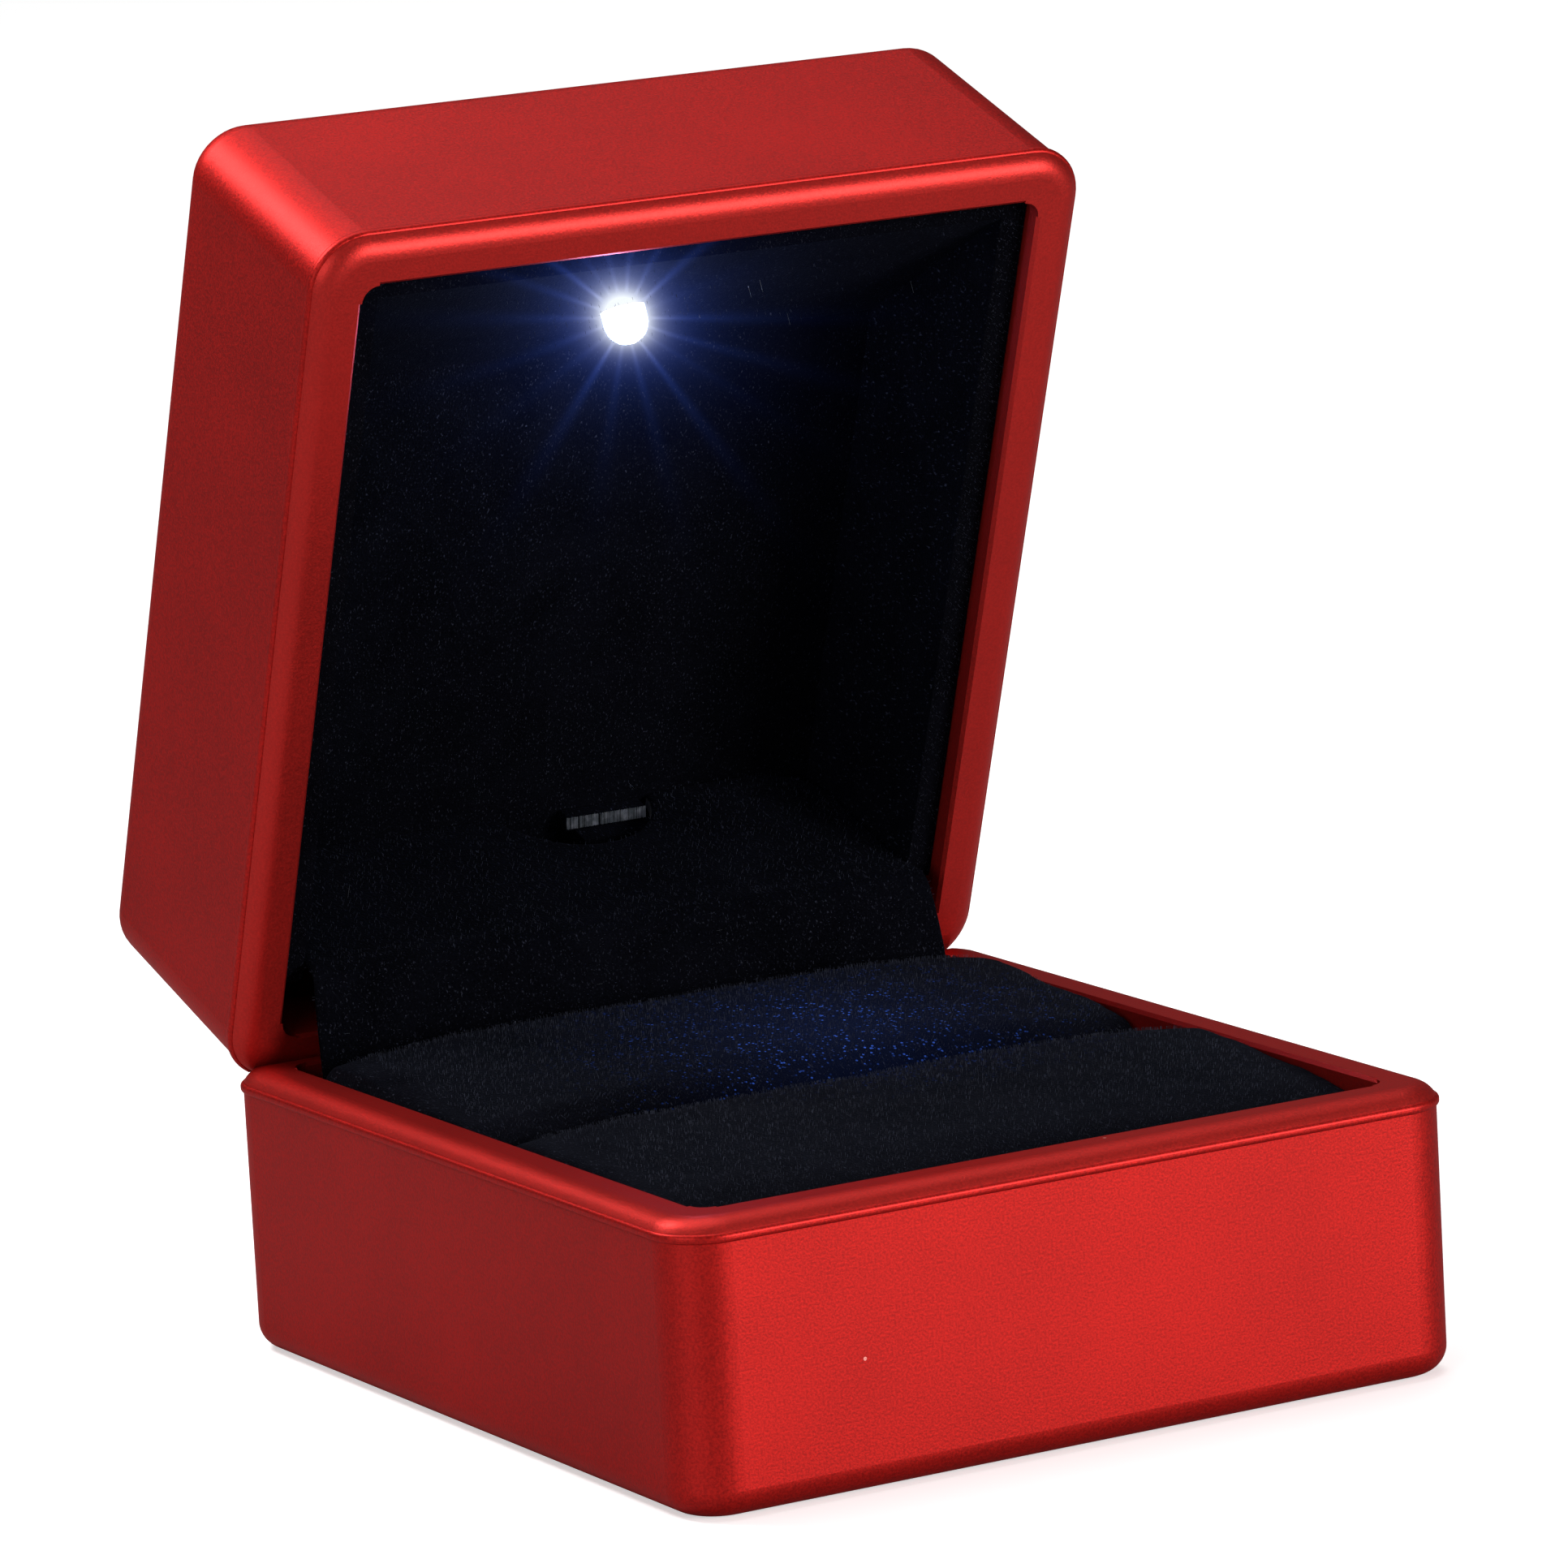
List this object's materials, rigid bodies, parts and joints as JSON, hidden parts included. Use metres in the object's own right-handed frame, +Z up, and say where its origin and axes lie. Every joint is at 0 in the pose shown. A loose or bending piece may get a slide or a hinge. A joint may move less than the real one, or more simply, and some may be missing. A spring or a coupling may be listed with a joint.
{
  "type": "ring box",
  "caption": "Hinged ring box standing open, satin lacquered case with rim frames, velvet ring rolls in the base and a lit lamp in the lined lid.",
  "frame": {"origin": "centre of the flat underside of the base", "axes": "+X along the hinge line, +Y from the front to the hinge side, +Z up"},
  "size_m": [0.06, 0.0821, 0.0855],
  "materials": {
    "case_lacquer": "satin metallic red lacquer",
    "frame_lacquer": "satin metallic red lacquer",
    "roll_velvet": "short pile velvet",
    "panel_velvet": "short pile velvet",
    "liner_flock": "flocked tray",
    "foam": "open cell foam",
    "inner_plastic": "moulded, matt",
    "card": "stiff card",
    "hinge_brass": "plain",
    "bright_steel": "bright",
    "lamp_lens": "clear dome, lit",
    "tinned_wire": "tinned",
    "board_green": "solder mask",
    "resistor_coat": "coated",
    "cell_steel": "plated",
    "clip_metal": "plated strip",
    "wire_sleeve": "thin sleeve",
    "plunger_plastic": "moulded, matt"
  },
  "bodies": {
    "base": {"base_shell": "case_lacquer", "base_rim_frame": "frame_lacquer", "insert_tray": "inner_plastic", "front_roll_foam": "foam", "rear_roll_foam": "foam", "front_ring_roll": "roll_velvet", "rear_ring_roll": "roll_velvet", "hinge_cover": "inner_plastic", "cover_velvet": "panel_velvet", "hinge_base_leaf": "hinge_brass", "hinge_pin": "bright_steel", "base_hinge_screws": "bright_steel"},
    "lid": {"lid_shell": "case_lacquer", "lid_rim_frame": "frame_lacquer", "lid_liner": "liner_flock", "floor_card": "card", "floor_velvet": "panel_velvet", "liner_tongue": "liner_flock", "led_bulb": "lamp_lens", "led_holder": "inner_plastic", "led_leads": "tinned_wire", "circuit_board": "board_green", "resistor": "resistor_coat", "coin_cells": "cell_steel", "cell_clips": "clip_metal", "switch_body": "inner_plastic", "switch_bracket": "inner_plastic", "switch_leads": "wire_sleeve", "hinge_lid_leaf": "hinge_brass", "lid_hinge_screws": "bright_steel"},
    "plunger": {"switch_plunger": "plunger_plastic"}
  },
  "joints": [
    {"name": "lid_hinge", "type": "hinge", "parent": "base", "child": "lid", "pos_m": [0, 0.0304, 0.0202], "axis": [1, 0, 0], "range_deg": [0, 70]},
    {"name": "switch_press", "type": "slide", "parent": "lid", "child": "plunger", "axis": [0, 0.9397, 0.342], "range_m": [0, 0.0006], "stiffness_N_per_m": 150, "springref_m": -0.001}
  ]
}
